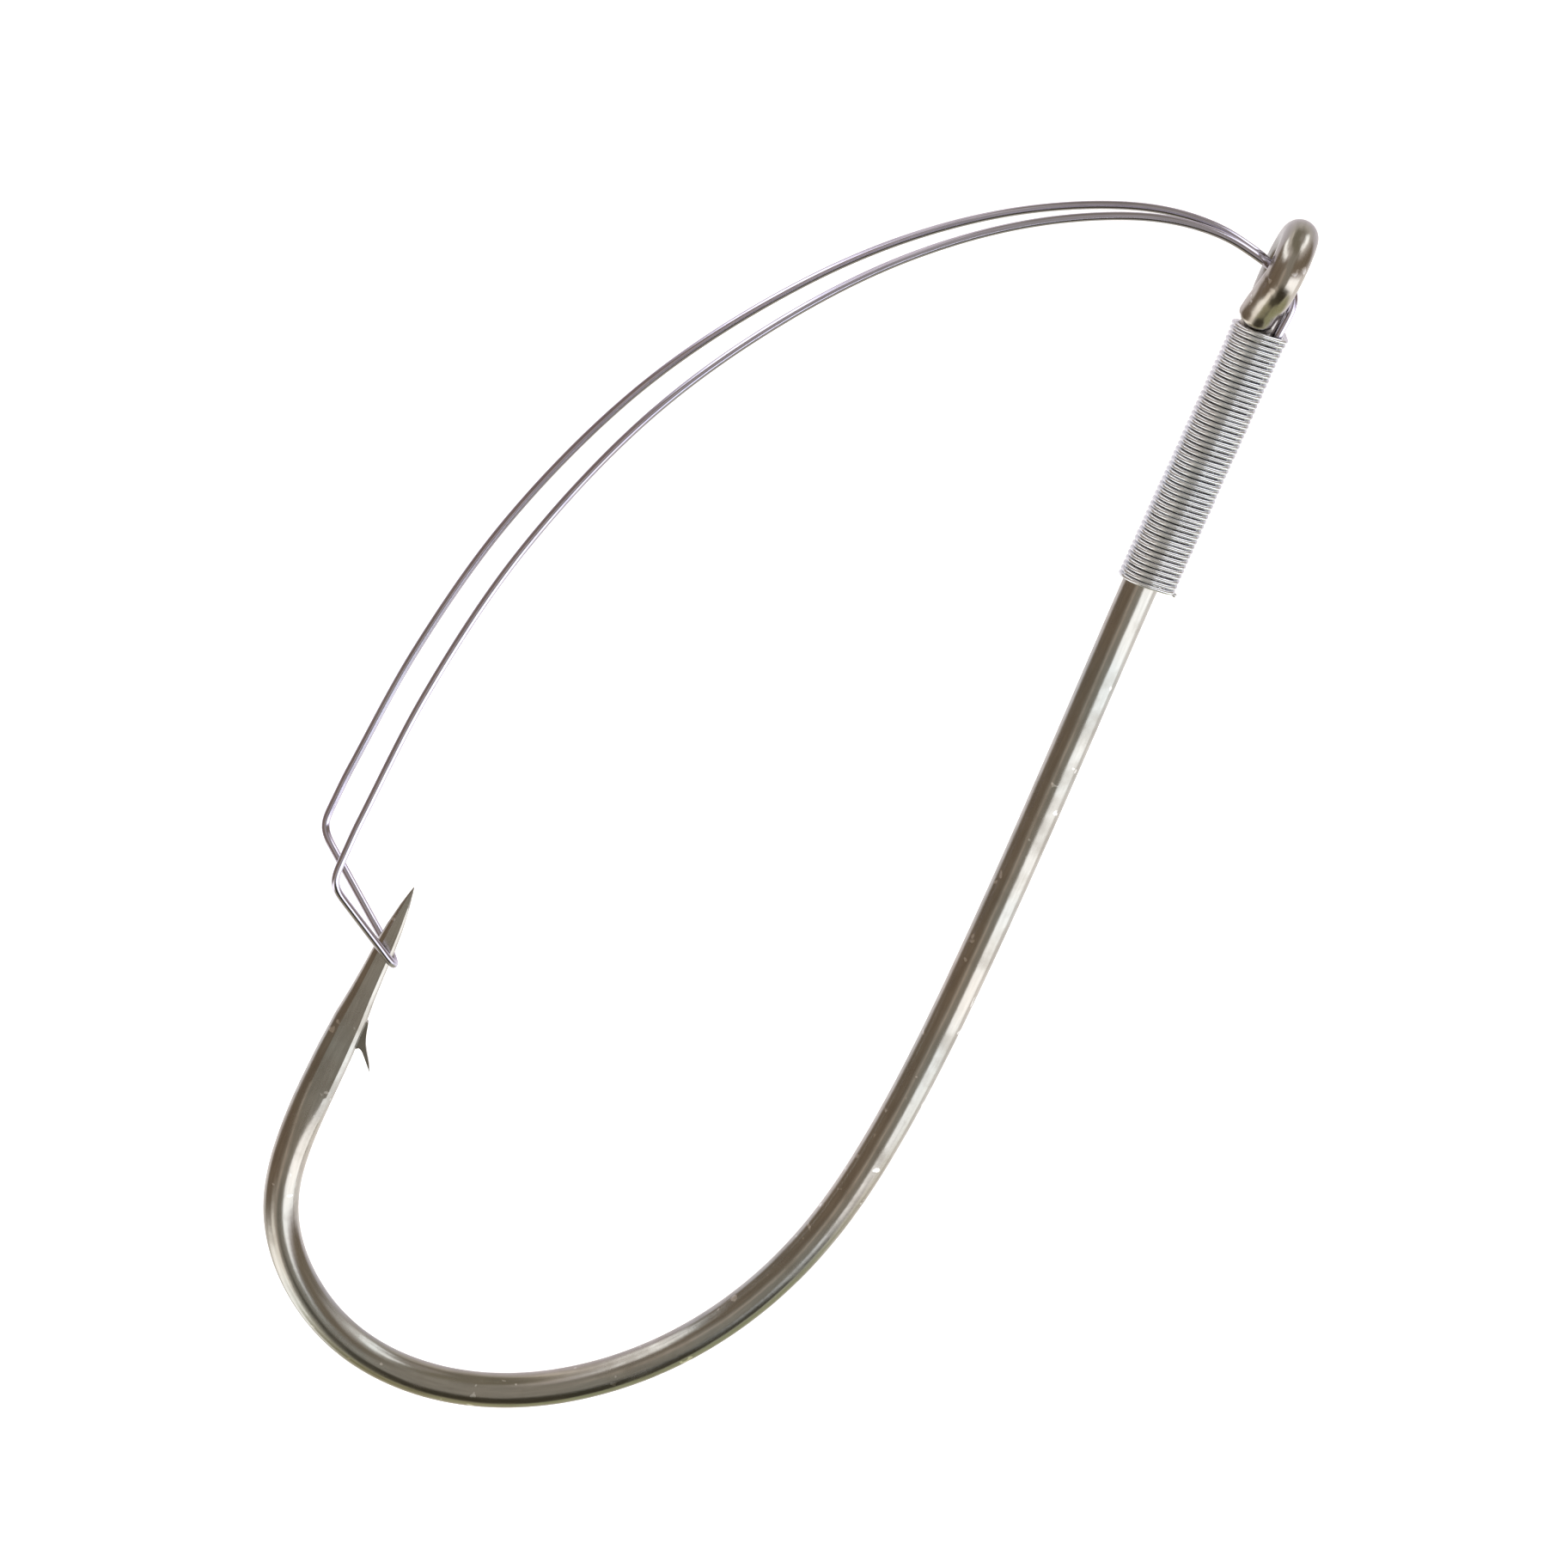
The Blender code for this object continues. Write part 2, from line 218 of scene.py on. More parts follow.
def metalFinish(name, finish):
    material = bpy.data.materials.new(name)
    material.use_nodes = True
    nodes, links = material.node_tree.nodes, material.node_tree.links
    shader = nodes["Principled BSDF"]
    shader.inputs["Metallic"].default_value = finish["metallic"]

    grain = nodes.new("ShaderNodeAttribute")
    grain.attribute_name = "wireGrain"
    place = nodes.new("ShaderNodeTexCoord")

    def noise(source, scale, detail, stretch=None):
        texture = nodes.new("ShaderNodeTexNoise")
        texture.inputs["Scale"].default_value = scale
        texture.inputs["Detail"].default_value = detail
        if stretch:
            stretcher = nodes.new("ShaderNodeMapping")
            stretcher.inputs["Scale"].default_value = stretch
            links.new(source, stretcher.inputs["Vector"])
            source = stretcher.outputs["Vector"]
        links.new(source, texture.inputs["Vector"])
        return texture.outputs["Fac"]

    def ramp(source, edges, low, high):
        colours = nodes.new("ShaderNodeValToRGB")
        for element, at, colour in zip(colours.color_ramp.elements, edges, (low, high)):
            element.position = at
            element.color = (*colour, 1.0)
        links.new(source, colours.inputs["Fac"])
        return colours.outputs["Color"]

    def maths(operation, first, second):
        step = nodes.new("ShaderNodeMath")
        step.operation = operation
        for socket, value in zip(step.inputs, (first, second)):
            if isinstance(value, (int, float)):
                socket.default_value = value
            else:
                links.new(value, socket)
        return step.outputs["Value"]

    def mixed(kind, share, first, second):
        mix = nodes.new("ShaderNodeMix")
        mix.data_type = "RGBA"
        mix.blend_type = kind
        if isinstance(share, (int, float)):
            mix.inputs["Factor"].default_value = share
        else:
            links.new(share, mix.inputs["Factor"])
        for socket, value in ((mix.inputs["A"], first), (mix.inputs["B"], second)):
            if isinstance(value, tuple):
                socket.default_value = (*value, 1.0)
            else:
                links.new(value, socket)
        return mix.outputs["Result"]

    black, white = (0.0,) * 3, (1.0,) * 3
    # plating: slow drift between a cool and a warm tone, then cloudy tarnish
    drift = noise(place.outputs["Object"], finish["driftScale"], 3.0)
    plating = ramp(drift, noiseEdges["drift"], finish["cool"], finish["warm"])
    cloud = noise(place.outputs["Object"], finish["cloudScale"], 5.0)
    tarnish = ramp(cloud, noiseEdges["cloud"], black, white)
    tarnished = maths("MULTIPLY", tarnish, finish["tarnishAmount"])
    plating = mixed("MIX", tarnished, plating, finish["tarnish"])
    # lines left by the drawing die run along the wire
    drawn = noise(grain.outputs["Vector"], finish["drawScale"], 4.0, (1.0, 1.0, finish["drawStretch"]))
    streaks = ramp(drawn, noiseEdges["draw"], (1.0 - finish["streak"],) * 3, white)
    plating = mixed("MULTIPLY", 1.0, plating, streaks)
    # small bright nicks where the plating has been knocked
    nicks = noise(place.outputs["Object"], finish["nickScale"], 2.0)
    nickEdges = (finish["nickFrom"], finish["nickFrom"] + noiseEdges["nickSoftness"])
    plating = mixed("MIX", ramp(nicks, nickEdges, black, white), plating, finish["bare"])
    links.new(plating, shader.inputs["Base Color"])

    rough = maths("MULTIPLY", maths("SUBTRACT", drawn, 0.5), finish["roughSpread"])
    rough = maths("ADD", rough, maths("MULTIPLY", tarnish, finish["tarnishRough"]))
    rough = maths("ADD", rough, finish["rough"])
    links.new(maths("MAXIMUM", rough, noiseEdges["smoothest"]), shader.inputs["Roughness"])

    pits = noise(place.outputs["Object"], finish["pitScale"], 3.0)
    drawHeight = maths("MULTIPLY", drawn, finish["drawDepth"])
    height = maths("ADD", drawHeight, maths("MULTIPLY", pits, finish["pitDepth"]))
    bump = nodes.new("ShaderNodeBump")
    bump.inputs["Strength"].default_value = finish["bump"]
    bump.inputs["Distance"].default_value = finish["bumpDistance"] * mm
    links.new(height, bump.inputs["Height"])
    links.new(bump.outputs["Normal"], shader.inputs["Normal"])
    return material


hookShape = {
    "wire": 1.50,              # shank and bend diameter
    "eyeRadius": 1.42,         # centre line of the ring eye
    "eyeTwist": -6.0,          # the ring is turned this far about the shank
    "eyeLean": 3.0,            # and its top leans back
    "shankLean": 1.2,
    # distance down the wire from the eye's centre, and curvature there in 1/mm. These are fitted
    # numbers, not design values: a least-squares fit gave all but the first three rows, and the
    # length below
    "bend": (
        (10.0, 0.0), (14.0, -0.0052), (18.0, 0.0), (32.0, 0.004), (40.0, 0.016), (46.0, 0.047),
        (58.0, 0.064), (65.0, 0.099), (69.0, 0.128), (72.0, 0.108), (75.5, 0.154), (79.0, 0.038),
        (83.0, 0.0),
    ),
    "length": 90.96,
    # distance back from the point, width in the hook's plane, thickness across it
    "spear": (
        (0.0, 0.03, 0.03), (0.3, 0.17, 0.15), (0.9, 0.42, 0.38), (1.9, 0.70, 0.60), (2.8, 0.86, 0.72),
        (4.1, 0.98, 0.84), (5.2, 1.12, 0.96), (6.4, 1.36, 1.08), (8.0, 1.50, 1.20), (10.5, 1.57, 1.34),
        (14.0, 1.50, 1.50),
    ),
    # one side of the ground spear as inward and across, from the inner edge round to the back,
    # and the number of points on each stretch
    "facets": (
        (0.50, 0.00), (0.50, 0.20), (0.43, 0.42), (0.31, 0.495), (-0.25, 0.50), (-0.33, 0.455),
        (-0.40, 0.38), (-0.455, 0.27), (-0.49, 0.14), (-0.50, 0.00),
    ),
    "facetPoints": (3, 3, 2, 6, 1, 1, 1, 1, 1),
    "facetsFull": 8.5,
    "facetsEnd": 13.5,
    "seam": -8.0,              # the eye and the bend are joined here, under the whipping
    "overlap": 0.6,            # how far the bend's mesh reaches past the seam
    "bendPace": 0.3,
    "spearLength": 14.0,
    "spearPace": 0.15,
    "needlePace": 0.08,        # over the last millimetre
    # the barb's free spike: down its outer side to the tip, back up its inner side, and its root
    "barbOuter": ((-23.02, -43.40), (-22.88, -44.05), (-22.76, -44.40), (-22.54, -44.80), (-22.35, -45.14)),
    "barbTip": (-22.19, -45.52),
    "barbInner": ((-22.46, -45.17), (-22.67, -44.90), (-22.86, -44.68), (-23.02, -44.60), (-23.17, -44.71)),
    "barbRoot": ((-23.52, -44.78), (-23.52, -43.40)),
    "barbFullAt": -44.5,       # height where the spike has its full thickness
    "barbThickness": 0.42,
    "barbTipThickness": 0.15,
    "barbLayers": ((-1.0, 0.94), (-0.7, 1.0), (0.7, 1.0), (1.0, 0.94)),
    "barbPace": 0.12,
    # the ring's cut end comes down in front of the neck. Each is x, y, z in the ring's own axes
    "cutEnd": (
        (-0.03, -1.38, -0.32), (-0.09, -1.20, -0.80), (-0.14, -0.92, -1.25), (-0.19, -0.64, -1.72),
        (-0.22, -0.48, -2.14),
    ),
    "cutEndPace": 0.12,
    "cutDome": (65, 45, 25, 8),
    "neckFlare": (0.05, 0.12), # wider in the hook's plane, and across it, where it meets the ring
    "neckFlareFrom": -2.9,
    "neckFlareFull": -1.6,
    "neckPace": 0.2,
    "ringSteps": 72,
    "eyeSides": 32,
    "fuseVoxel": 0.055,
    "fuseRounds": 8,
    "crotchBelow": 0.55,       # under the ring's centre line
    "crotchReach": 0.7,
    "crotchSoftness": 0.5,
    "sharpAngle": 24.0,
}

hookFinish = {
    "metallic": 1.0,
    "cool": (0.50, 0.51, 0.49),
    "warm": (0.55, 0.51, 0.46),
    "tarnish": (0.31, 0.27, 0.22),
    "tarnishAmount": 0.40,
    "tarnishRough": 0.10,
    "bare": (0.85, 0.84, 0.82),
    "driftScale": 130.0,
    "cloudScale": 700.0,
    "drawScale": 5.0,
    "drawStretch": 0.12,
    "streak": 0.10,
    "nickScale": 1500.0,
    "nickFrom": 0.68,
    "rough": 0.21,
    "roughSpread": 0.12,
    "drawDepth": 0.5,
    "pitScale": 5000.0,
    "pitDepth": 0.35,
    "bump": 0.25,
    "bumpDistance": 0.02,
}


def hookCentreLine(shape, pace=0.02):
    # run down the wire, x, z and heading, all found by adding up the curvature
    run = np.arange(0.0, shape["length"] + pace, pace)
    curvature = np.interp(run, *zip(*shape["bend"]))
    turned = np.concatenate([[0.0], np.cumsum((curvature[1:] + curvature[:-1]) / 2 * pace)])
    heading = turned + math.radians(shape["shankLean"])
    middle = (heading[1:] + heading[:-1]) / 2
    x = np.concatenate([[0.0], -np.cumsum(np.sin(middle)) * pace])
    z = np.concatenate([[0.0], -np.cumsum(np.cos(middle)) * pace])
    return run, x, z, heading


def facetedSection(shape):
    corners = shape["facets"]
    half = []
    for (a, b), count in zip(zip(corners, corners[1:]), shape["facetPoints"]):
        for step in range(count):
            half.append((a[0] + (b[0] - a[0]) * step / count, a[1] + (b[1] - a[1]) * step / count))
    half.append(corners[-1])
    return np.array(half + [(along, -across) for along, across in reversed(half[1:-1])])


def hookSection(shape, back, flatPoints):
    stations, widths, thicknesses = zip(*shape["spear"])
    width = np.interp(back, stations, widths)
    thickness = np.interp(back, stations, thicknesses)
    share = float(smoothStep(-shape["facetsEnd"], -shape["facetsFull"], -back))
    # points of the round section stand at the same places round as the facet points
    angles = np.arctan2(flatPoints[:, 1], flatPoints[:, 0])
    roundPoints = np.stack([np.cos(angles), np.sin(angles)], axis=1) / 2
    section = roundPoints * (1 - share) + flatPoints * share
    return section * (width, thickness)


def makeBend(shape):
    run, x, z, heading = hookCentreLine(shape)
    flatPoints = facetedSection(shape)
    start = -shape["seam"] / math.cos(math.radians(shape["shankLean"])) - shape["overlap"]
    body = np.arange(start, shape["length"] - shape["spearLength"], shape["bendPace"])
    spear = np.arange(shape["spearLength"], 1.0, -shape["spearPace"])
    needle = np.arange(1.0, 0.0, -shape["needlePace"])
    tip = shape["length"] - np.concatenate([spear, needle, [0.0]])
    rings = []
    for distance in [*body, *tip]:
        cx, cz, turned = (np.interp(distance, run, values) for values in (x, z, heading))
        inward = (-math.cos(turned), math.sin(turned))
        section = hookSection(shape, shape["length"] - distance, flatPoints)
        rings.append([(cx + inward[0] * a, c, cz + inward[1] * a) for a, c in section])
    sides = len(flatPoints)
    return np.array(rings).reshape(-1, 3), tubeFaces(len(rings), sides)


def makeBarb(shape):
    # sliced barb: a thin spike lifted from the spear's inner edge, curling down and away
    tip = shape["barbTip"]
    outer = smoothRoute([*shape["barbOuter"], tip], shape["barbPace"])
    inner = smoothRoute([tip, *shape["barbInner"]], shape["barbPace"])
    outline = [*outer, *inner[1:], *[np.array(corner) for corner in shape["barbRoot"]]]
    thicknesses = (shape["barbTipThickness"], shape["barbThickness"])
    middle = np.mean(outline, axis=0)
    rings = []
    for across, inset in shape["barbLayers"]:
        for point in outline:
            thin = np.interp(point[1], (tip[1], shape["barbFullAt"]), thicknesses)
            moved = middle + (point - middle) * inset
            rings.append((moved[0], across * thin / 2, moved[1]))
    return np.array(rings), tubeFaces(len(shape["barbLayers"]), len(outline))


def ringFrame(shape):
    # the ring's own upright, sideways and facing directions
    twist, lean = math.radians(shape["eyeTwist"]), math.radians(shape["eyeLean"])
    turned = Matrix.Rotation(lean, 3, "Y") @ Matrix.Rotation(twist, 3, "Z")
    return [np.array(turned @ Vector(axis)) for axis in ((0, 0, 1), (0, 1, 0), (1, 0, 0))]


def makeEye(shape):
    # ring, neck and the ring's cut end as closed shapes that overlap, to be fused
    upright, sideways, facing = ringFrame(shape)
    radius, wire, sides = shape["eyeRadius"], shape["wire"] / 2, shape["eyeSides"]
    around = np.linspace(0.0, 2 * math.pi, sides, endpoint=False)
    ring = []
    for turn in np.linspace(0.0, 2 * math.pi, shape["ringSteps"], endpoint=False):
        out = upright * math.cos(turn) + sideways * math.sin(turn)
        ring += [out * (radius + wire * math.cos(a)) + facing * wire * math.sin(a) for a in around]
    neck = []
    # from under the whipping to just past the ring's centre line
    heights = np.arange(shape["seam"] - 0.8, -radius + 0.21, shape["neckPace"])
    for z in heights:
        flared = float(smoothStep(shape["neckFlareFrom"], shape["neckFlareFull"], z))
        wide, deep = (wire * (1 + share * flared) for share in shape["neckFlare"])
        centre = z * math.tan(math.radians(shape["shankLean"]))
        neck += [(centre + wide * math.cos(a), deep * math.sin(a), z) for a in around]
    route = [facing * x + sideways * y + upright * z for x, y, z in shape["cutEnd"]]
    line = resample(smoothRoute(route, 0.1), shape["cutEndPace"])
    ahead, across = carriedFrames(line)
    third = np.cross(ahead, across)
    end = []
    # the last rings dome over the cut
    sizes = [1.0] * len(line) + [math.sin(math.radians(angle)) for angle in shape["cutDome"]]
    for step, size in enumerate(sizes):
        at = min(step, len(line) - 1)
        middle = line[at] + ahead[at] * shape["cutEndPace"] * (step - at)
        for a in around:
            end.append(middle + wire * size * (across[at] * math.cos(a) + third[at] * math.sin(a)))
    return [
        (np.array(ring), tubeFaces(shape["ringSteps"], sides, closed=True)),
        (np.array(neck), tubeFaces(len(heights), sides)),
        (np.array(end), tubeFaces(len(sizes), sides)),
    ]


def plainMesh(name, parts):
    # several closed shapes in one mesh object, in millimetres
    vertices, faces = [], []
    for points, loops in parts:
        faces += [tuple(index + len(vertices) for index in loop) for loop in loops]
        vertices += [tuple(point) for point in np.array(points)]
    mesh = bpy.data.meshes.new(name)
    mesh.from_pydata(vertices, [], faces)
    shape = bmesh.new()
    shape.from_mesh(mesh)
    bmesh.ops.recalc_face_normals(shape, faces=shape.faces)
    shape.to_mesh(mesh)
    shape.free()
    thing = bpy.data.objects.new(name, mesh)
    bpy.context.scene.collection.objects.link(thing)
    return thing


def applied(thing):
    # the object's mesh with its modifiers in it; the object is removed
    bpy.context.view_layer.update()
    graph = bpy.context.evaluated_depsgraph_get()
    mesh = bpy.data.meshes.new_from_object(thing.evaluated_get(graph))
    bpy.data.objects.remove(thing)
    return mesh


def relaxed(mesh, rounds, weightOf):
    # evens the surface out, more where weightOf is high
    count = len(mesh.vertices)
    points = np.empty(count * 3)
    mesh.vertices.foreach_get("co", points)
    points = points.reshape(-1, 3)
    edges = np.empty(len(mesh.edges) * 2, int)
    mesh.edges.foreach_get("vertices", edges)
    a, b = edges.reshape(-1, 2).T
    neighbours = np.maximum(np.bincount(a, minlength=count) + np.bincount(b, minlength=count), 1)

    def towardsNeighbours():
        total = np.stack([
            np.bincount(a, points[b, k], count) + np.bincount(b, points[a, k], count) for k in range(3)
        ], axis=1)
        return total / neighbours[:, None] - points

    for _ in range(rounds):
        # a step back of about the same size after each step keeps the volume
        points += towardsNeighbours() * 0.5
        points += towardsNeighbours() * -0.51
    weight = weightOf(points)[:, None]
    for _ in range(rounds):
        points += towardsNeighbours() * 0.6 * weight
    mesh.vertices.foreach_set("co", points.ravel())
    mesh.update()


def makeHook(shape, finish):
    eye = plainMesh("eyeBlank", makeEye(shape))
    remesh = eye.modifiers.new("fuse", "REMESH")
    remesh.mode = "VOXEL"
    remesh.voxel_size = shape["fuseVoxel"]
    eyeMesh = applied(eye)
    crotch = np.array((0.0, 0.0, -shape["eyeRadius"] - shape["crotchBelow"]))

    def nearCrotch(points):
        away = np.linalg.norm(points - crotch, axis=1) / shape["crotchReach"]
        return shape["crotchSoftness"] * np.exp(-(away ** 4))

    relaxed(eyeMesh, shape["fuseRounds"], nearCrotch)
    # the fused neck and the bend's own mesh overlap inside the whipping
    body = bpy.data.objects.new("forged_hook", eyeMesh)
    bpy.context.scene.collection.objects.link(body)
    others = [plainMesh("bendBlank", [makeBend(shape)]), plainMesh("barbBlank", [makeBarb(shape)])]
    for other in others:
        union = body.modifiers.new("join_" + other.name, "BOOLEAN")
        union.operation = "UNION"
        union.solver = "EXACT"
        union.object = other
    mesh = applied(body)
    for other in others:
        bpy.data.objects.remove(other)
    mesh.transform(Matrix.Scale(mm, 4))
    mesh.name = "forged_hook"
    mesh.shade_smooth()
    mesh.set_sharp_from_angle(angle=math.radians(shape["sharpAngle"]))
    hook = bpy.data.objects.new("forged_hook", mesh)
    bpy.context.scene.collection.objects.link(hook)
    storeGrain(hook, hookGrain(shape, mesh))
    mesh.materials.clear()
    mesh.materials.append(metalFinish("forged nickel", finish))
    return hook


def hookGrain(shape, mesh):
    # place round and along the wire for each vertex, from the nearest point of the centre line
    points = np.empty(len(mesh.vertices) * 3)
    mesh.vertices.foreach_get("co", points)
    points = points.reshape(-1, 3) / mm
    run, x, z, heading = hookCentreLine(shape, 0.1)
    line = np.stack([x, z], axis=1)
    grain = np.zeros_like(points)
    upright, sideways, facing = ringFrame(shape)
    batch = 4000
    for first in range(0, len(points), batch):
        part = points[first:first + batch]
        gaps = ((part[:, None, [0, 2]] - line[None]) ** 2).sum(axis=2)
        near = gaps.argmin(axis=1)
        inward = np.stack([-np.cos(heading[near]), np.sin(heading[near])], axis=1)
        along = ((part[:, [0, 2]] - line[near]) * inward).sum(axis=1)
        angle = np.arctan2(part[:, 1], along)
        place = np.stack([np.cos(angle), np.sin(angle), run[near]], axis=1)
        high = part[:, 2] > -shape["eyeRadius"] - 0.4
        up, side, face = part @ upright, part @ sideways, part @ facing
        out = np.hypot(up, side) - shape["eyeRadius"]
        tube = np.arctan2(face, out)
        turn = np.arctan2(side, up) * shape["eyeRadius"]
        place[high] = np.stack([np.cos(tube), np.sin(tube), turn], axis=1)[high]
        grain[first:first + batch] = place
    return grain


guardShape = {
    "wire": 0.34,
    "tailSpacing": 0.86,
    "tailBottom": (0.65, -13.85),
    "tailTop": (0.76, -2.60),
    # up the back of the neck and in through the eye
    "tailRoute": ((0.84, -1.75), (0.83, -1.05), (0.58, -0.52), (0.10, -0.32), (-0.35, -0.16)),
    # thinned out and rounded from points that a separate measuring script printed
    "armRoute": (
        (-3.00, 0.51), (-5.90, 0.19), (-10.30, -1.70), (-14.56, -4.83), (-18.40, -9.05),
        (-21.94, -14.50), (-24.78, -21.50), (-26.30, -28.20), (-27.03, -34.60),
    ),
    "elbow": (-27.18, -37.15),
    "elbowRadius": 1.1,
    "catch": (-23.45, -40.14),
    "catchRadius": 0.70,
    "elbowSpread": 2.50,
    "lean": 12.4,
    "spreadPower": 1.2,        # how late the legs open out
    "pace": 0.16,
    "softRounds": 6,
    "sides": 20,
    "bendsOver": 14.0,         # the real arms flex over this length beyond the eye
}

guardFinish = {
    "metallic": 1.0,
    "cool": (0.72, 0.71, 0.86),
    "warm": (0.69, 0.65, 0.80),
    "tarnish": (0.44, 0.40, 0.50),
    "tarnishAmount": 0.25,
    "tarnishRough": 0.08,
    "bare": (0.86, 0.86, 0.86),
    "driftScale": 160.0,
    "cloudScale": 900.0,
    "drawScale": 4.0,
    "drawStretch": 0.10,
    "streak": 0.14,
    "nickScale": 2600.0,
    "nickFrom": 0.80,
    "rough": 0.14,
    "roughSpread": 0.12,
    "drawDepth": 0.5,
    "pitScale": 9000.0,
    "pitDepth": 0.3,
    "bump": 0.25,
    "bumpDistance": 0.008,
}


def leaned(shape, point, offset):
    # a point of the guard's mid line moved sideways, on a guard that leans a little
    lean = math.radians(shape["lean"])
    chord = np.array(shape["catch"]) - np.array(flexAt)
    chord = chord / np.linalg.norm(chord)
    side = np.array((-chord[1], chord[0])) * math.sin(lean)
    return np.array((point[0] - side[0] * offset, offset * math.cos(lean), point[1] - side[1] * offset))


def armMidLine(shape):
    upper = smoothRoute([flexAt, *shape["armRoute"]], 0.3)
    corner, catch = np.array(shape["elbow"]), np.array(shape["catch"])
    coming = (corner - upper[-1]) / np.linalg.norm(corner - upper[-1])
    leaving = (catch - corner) / np.linalg.norm(catch - corner)
    inset = shape["elbowRadius"] * math.tan(math.acos(float(coming @ leaving)) / 2)
    bend = []
    for share in np.linspace(0.0, 1.0, 13):
        a = corner - coming * inset * (1 - share)
        b = corner + leaving * inset * share
        bend.append(a + (b - a) * share)
    straight = np.linalg.norm(catch - bend[-1])
    lower = [bend[-1] + leaving * straight * share for share in np.linspace(0.0, 1.0, 16)[1:]]
    return [*upper, *bend, *lower], len(lower) + len(bend) // 2


def guardArm(shape, side):
    line, pastElbow = armMidLine(shape)
    run = np.concatenate([[0.0], np.cumsum(np.linalg.norm(np.diff(line, axis=0), axis=1))])
    elbowRun = run[-pastElbow - 1]
    start, spread, catch = shape["tailSpacing"] / 2, shape["elbowSpread"], shape["catchRadius"]
    points = []
    for point, distance in zip(line, run):
        if distance <= elbowRun:
            offset = start + (spread - start) * (distance / elbowRun) ** shape["spreadPower"]
        else:
            offset = spread + (catch - spread) * (distance - elbowRun) / (run[-1] - elbowRun)
        points.append(leaned(shape, point, side * offset))
    return points


def guardTail(shape, side):
    spacing = side * shape["tailSpacing"] / 2
    flat = [shape["tailBottom"], shape["tailTop"], *shape["tailRoute"]]
    bent = [np.array((x, spacing, z)) for x, z in flat]
    return smoothRoute([*bent, leaned(shape, flexAt, spacing)], 0.2)[:-1]


def makeGuard(shape, finish):
    outward = np.array(shape["catch"]) - np.array(shape["elbow"])
    outward = outward / np.linalg.norm(outward)
    turn = []
    for angle in np.linspace(0.0, math.pi, 25)[1:-1]:
        point = np.array(shape["catch"]) + outward * shape["catchRadius"] * math.sin(angle)
        turn.append(leaned(shape, point, -shape["catchRadius"] * math.cos(angle)))
    near = [*guardTail(shape, -1), *guardArm(shape, -1)]
    far = [*guardTail(shape, 1), *guardArm(shape, 1)]
    points = softened(resample([*near, *turn, *reversed(far)], shape["pace"]), shape["softRounds"])
    guard = sweptWire("hairpin_guard", points, shape["wire"] / 2, shape["sides"])
    guard.data.materials.append(metalFinish("spring wire", finish))
    return guard


whippingShape = {
    "wire": 0.194,
    "turns": 51,
    "top": -2.58,
    "bottom": -14.08,
    "slack": 0.102,            # how far the turns stand off what they bind
    "flareTurns": 2.0,         # the last turns ride up over the tucked end
    "flare": 0.05,
    "stub": 0.42,
    "perTurn": 40,
    "seed": 51,
    "softRounds": 3,
    "sides": 12,
    "unevenness": 0.012,
    "pitchSpread": 0.010,
}

whippingFinish = {
    "metallic": 0.84,
    "cool": (0.90, 0.94, 1.00),
    "warm": (0.90, 0.91, 0.95),
    "tarnish": (0.52, 0.51, 0.52),
    "tarnishAmount": 0.25,
    "tarnishRough": 0.10,
    "bare": (0.95, 0.95, 0.95),
    "driftScale": 260.0,
    "cloudScale": 1100.0,
    "drawScale": 3.5,
    "drawStretch": 0.10,
    "streak": 0.10,
    "nickScale": 3000.0,
    "nickFrom": 0.78,
    "rough": 0.13,
    "roughSpread": 0.12,
    "drawDepth": 0.5,
    "pitScale": 11000.0,
    "pitDepth": 0.3,
    "bump": 0.25,
    "bumpDistance": 0.006,
}


def whippingOutline(shape, z, slack):
    # evenly spaced points on the outline of a thread pulled round the shank and both tails
    guard, hook = guardShape, hookShape
    (lowX, lowZ), (highX, highZ) = guard["tailBottom"], guard["tailTop"]
    tailX = np.interp(z, (lowZ, highZ), (lowX, highX))
    axisX = z * math.tan(math.radians(hook["shankLean"]))
    offset = np.array((tailX - axisX, guard["tailSpacing"] / 2))
    share = (hook["wire"] - guard["wire"]) / 2 / np.linalg.norm(offset)
    leave = math.atan2(offset[1], offset[0]) + math.acos(share)
    clear = shape["wire"] / 2 + slack
    outline = []
    for centre, radius, first, last, steps in (
        ((tailX, offset[1]), guard["wire"] / 2, 0.0, leave, 12),
        ((axisX, 0.0), hook["wire"] / 2, leave, 2 * math.pi - leave, 28),
        ((tailX, -offset[1]), guard["wire"] / 2, 2 * math.pi - leave, 2 * math.pi, 12),
    ):
        for angle in np.linspace(first, last, steps + 1):
            reach = radius + clear
            outline.append((centre[0] + reach * math.cos(angle), centre[1] + reach * math.sin(angle), z))
    outline.append(outline[0])
    return resample(outline, 0.01)


def makeWhipping(shape, finish):
    chance = random.Random(shape["seed"])
    pitch = (shape["top"] - shape["bottom"]) / shape["turns"]
    points = []
    for turn in range(shape["turns"]):
        low = shape["bottom"] + pitch * turn + chance.uniform(-1, 1) * shape["pitchSpread"]
        left = shape["turns"] - turn
        slack = shape["slack"] + shape["flare"] * max(0.0, 1 - (left - 1) / shape["flareTurns"])
        slack += chance.uniform(-1, 1) * shape["unevenness"]
        outline = whippingOutline(shape, low + pitch / 2, slack)
        for step in range(shape["perTurn"]):
            share = step / shape["perTurn"]
            x, y, _ = outline[int(share * (len(outline) - 1))]
            points.append((x, y, low + pitch * share))
    points = list(softened(points, shape["softRounds"]))
    first, last = [
        end + (end - before) / np.linalg.norm(end - before) * shape["stub"]
        for end, before in ((points[0], points[1]), (points[-1], points[-2]))
    ]
    whipping = sweptWire("wire_whipping", [first, *points, last], shape["wire"] / 2, shape["sides"])
    whipping.data.materials.append(metalFinish("binding wire", finish))
    return whipping


